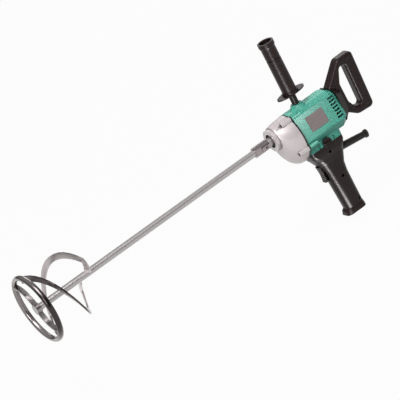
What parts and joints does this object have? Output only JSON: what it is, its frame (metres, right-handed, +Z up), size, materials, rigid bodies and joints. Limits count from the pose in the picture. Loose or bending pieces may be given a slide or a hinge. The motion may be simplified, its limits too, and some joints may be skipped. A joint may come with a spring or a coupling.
{
  "type": "mixing drill",
  "caption": "Hand-held electric mixing drill with a D-shaped rear handle, upright side handle, trigger grip and a long helical paddle ring.",
  "frame": {"origin": "centre of the flat front face of the gear case's nose, on the spindle axis", "axes": "+X back along the spindle, away from the paddle; +Z up through the side handle, away from the trigger grip; +Y to the operator's right"},
  "size_m": [0.8911, 0.16, 0.428],
  "materials": {
    "paddle_steel": "bright, lightly brushed",
    "gear_steel": "ground",
    "core_steel": "laminated, varnished",
    "screw_steel": "blackened",
    "case_aluminium": "satin casting",
    "bronze": "machined",
    "copper": "enamelled wire",
    "housing_green": "satin",
    "handle_black": "satin gloss",
    "inner_plastic": "moulded",
    "carbon": "pressed carbon",
    "black_rubber": "matt",
    "plate_grey": "satin, bare"
  },
  "bodies": {
    "drill_body": {"front_spindle_bearing": "gear_steel", "rear_spindle_bearing": "gear_steel", "front_armature_bearing": "gear_steel", "rear_armature_bearing": "gear_steel", "stator_core": "core_steel", "gear_case_screws": "screw_steel", "rear_handle_screws": "screw_steel", "grip_screws": "screw_steel", "brush_springs": "screw_steel", "trigger_spring": "screw_steel", "side_handle_stud": "screw_steel", "gear_case": "case_aluminium", "gear_plate": "case_aluminium", "intermediate_front_bush": "bronze", "intermediate_rear_bush": "bronze", "brush_holders": "bronze", "field_coils": "copper", "motor_housing": "housing_green", "side_handle_grip": "handle_black", "side_handle_guard": "handle_black", "side_handle_stem": "handle_black", "rear_handle_left": "handle_black", "rear_handle_right": "handle_black", "grip_left": "handle_black", "grip_right": "handle_black", "fan_baffle": "inner_plastic", "trigger_switch": "inner_plastic", "reversing_switch": "inner_plastic", "carbon_brushes": "carbon", "cord_guard": "black_rubber", "gear_case_gasket": "black_rubber", "spindle_seal": "black_rubber", "rating_plate": "plate_grey"},
    "mixer": {"mixer_rod": "paddle_steel", "mixer_ring": "paddle_steel", "ring_crossbar": "paddle_steel", "helix_blade_a": "paddle_steel", "helix_blade_b": "paddle_steel", "rod_connector": "paddle_steel", "output_spindle": "paddle_steel", "output_gear": "gear_steel"},
    "intermediate": {"intermediate_shaft": "gear_steel", "intermediate_gear": "gear_steel"},
    "armature": {"armature_shaft": "gear_steel", "armature_core": "core_steel", "armature_windings": "copper", "commutator": "copper", "cooling_fan": "inner_plastic"},
    "trigger_body": {"trigger": "handle_black"},
    "knob_body": {"reversing_knob": "handle_black"}
  },
  "joints": [
    {"name": "spindle_spin", "type": "hinge", "parent": "drill_body", "child": "mixer", "pos_m": [0, 0, 0], "axis": [1, 0, 0], "continuous": true},
    {"name": "intermediate_spin", "type": "hinge", "parent": "drill_body", "child": "intermediate", "pos_m": [0.03, 0.02022, -0.01864], "axis": [1, 0, 0], "continuous": true},
    {"name": "armature_spin", "type": "hinge", "parent": "drill_body", "child": "armature", "pos_m": [0.1, 0, -0.022], "axis": [1, 0, 0], "continuous": true},
    {"name": "trigger_slide", "type": "slide", "parent": "drill_body", "child": "trigger_body", "axis": [1, 0, 0], "range_m": [0, 0.006], "stiffness_N_per_m": 1500, "springref_m": -0.004, "deforming": ["trigger_spring"]},
    {"name": "knob_turn", "type": "hinge", "parent": "drill_body", "child": "knob_body", "pos_m": [0.101, -0.034, -0.0635], "axis": [0, 1, 0], "range_deg": [0, 60]}
  ],
  "couplings": [
    {"joint": "intermediate_spin", "follows": "spindle_spin", "ratio": -3.8889},
    {"joint": "armature_spin", "follows": "spindle_spin", "ratio": 13.827}
  ]
}
